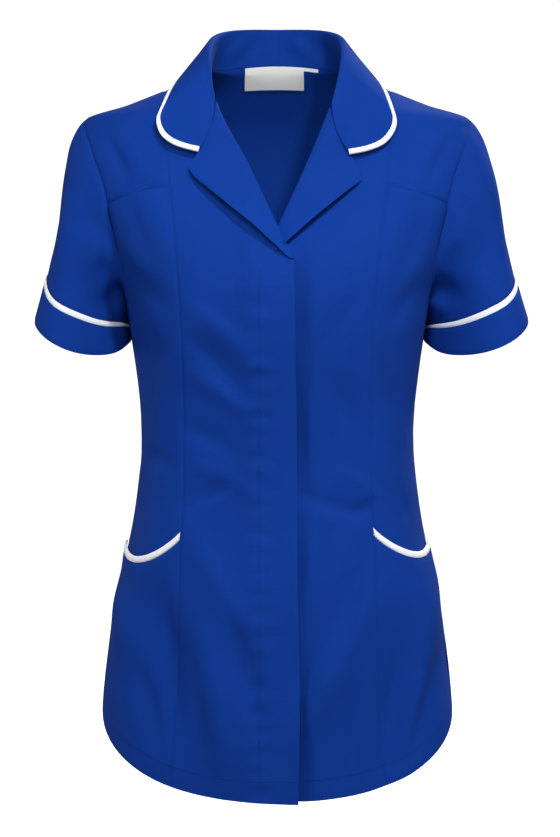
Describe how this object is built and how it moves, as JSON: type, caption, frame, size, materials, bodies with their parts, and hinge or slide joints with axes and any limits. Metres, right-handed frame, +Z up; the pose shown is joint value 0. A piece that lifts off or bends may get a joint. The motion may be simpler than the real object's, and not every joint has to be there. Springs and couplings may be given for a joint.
{
  "type": "work tunic",
  "caption": "Short-sleeved work tunic in royal blue cloth with white piping, revers collar, concealed front fastening, princess seams, hip pockets and a curved hem, filled out as if worn.",
  "frame": {"origin": "middle of the neck ring, level with the back neck seam, where the wearer's neck and shoulders hold it", "axes": "+Z up, the front faces -Y, the wearer's left side is at +X"},
  "size_m": [0.4944, 0.2521, 0.767],
  "materials": {
    "royal_blue_cloth": "matt polyester and cotton twill, royal blue",
    "white_piping": "flat white cloth piping",
    "zip_tape": "woven zip tape with a nylon coil",
    "blank_label": "smooth white woven label, blank"
  },
  "bodies": {
    "root": {"centre_front_right": "royal_blue_cloth", "centre_front_left": "royal_blue_cloth", "upper_side_front_right": "royal_blue_cloth", "upper_side_front_left": "royal_blue_cloth", "side_front_right": "royal_blue_cloth", "side_front_left": "royal_blue_cloth", "pocket_front_right": "royal_blue_cloth", "pocket_front_left": "royal_blue_cloth", "back": "royal_blue_cloth", "sleeve_right": "royal_blue_cloth", "sleeve_left": "royal_blue_cloth", "cuff_right": "royal_blue_cloth", "cuff_left": "royal_blue_cloth", "lapel_right": "royal_blue_cloth", "lapel_left": "royal_blue_cloth", "collar": "royal_blue_cloth", "pocket_piping_right": "white_piping", "pocket_piping_left": "white_piping", "cuff_piping_right": "white_piping", "cuff_piping_left": "white_piping", "collar_piping": "white_piping", "front_zip": "zip_tape", "neck_label": "blank_label", "size_tab": "blank_label"}
  },
  "joints": []
}
